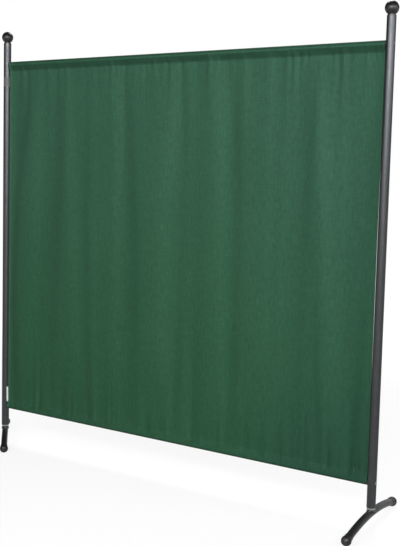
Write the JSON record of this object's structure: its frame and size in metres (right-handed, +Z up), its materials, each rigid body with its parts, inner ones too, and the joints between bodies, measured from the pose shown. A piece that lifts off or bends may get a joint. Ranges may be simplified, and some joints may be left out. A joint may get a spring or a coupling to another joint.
{
  "type": "garden privacy screen",
  "caption": "Free-standing garden privacy screen: a cloth panel sleeved over top and bottom rails between tube posts with ball tops, on bent tube feet that swivel.",
  "frame": {"origin": "on the floor, at the centre of the space the screen takes up at rest, with its feet turned as in the picture", "axes": "+X along the panel to the viewer's right, the front faces -Y, +Z up; the panel's own middle is 69.8 mm towards +X from the origin, because the left foot is turned further out"},
  "size_m": [2.0134, 0.507, 1.78],
  "materials": {
    "grey_paint": "smooth powder coat, dark grey, half gloss",
    "zinc_plate": "bright zinc plate",
    "black_plastic": "moulded, half gloss",
    "green_cloth": "woven polyester, matt"
  },
  "bodies": {
    "frame": {"left_post": "grey_paint", "right_post": "grey_paint", "left_finial": "black_plastic", "right_finial": "black_plastic", "top_rail": "grey_paint", "bottom_rail": "grey_paint", "top_left_insert": "zinc_plate", "top_right_insert": "zinc_plate", "bottom_left_insert": "zinc_plate", "bottom_right_insert": "zinc_plate", "top_left_screw": "zinc_plate", "top_right_screw": "zinc_plate", "bottom_left_screw": "zinc_plate", "bottom_right_screw": "zinc_plate", "cloth_panel": "green_cloth", "top_sleeve": "green_cloth", "bottom_sleeve": "green_cloth"},
    "left_foot": {"left_bow": "grey_paint", "left_spigot": "zinc_plate", "left_front_cap": "black_plastic", "left_rear_cap": "black_plastic"},
    "right_foot": {"right_bow": "grey_paint", "right_spigot": "zinc_plate", "right_front_cap": "black_plastic", "right_rear_cap": "black_plastic"}
  },
  "joints": [
    {"name": "left_foot_swivel", "type": "hinge", "parent": "frame", "child": "left_foot", "pos_m": [-0.82271, 0, 0.1], "axis": [0, 0, 1], "continuous": true},
    {"name": "right_foot_swivel", "type": "hinge", "parent": "frame", "child": "right_foot", "pos_m": [0.96229, 0, 0.1], "axis": [0, 0, 1], "continuous": true}
  ]
}
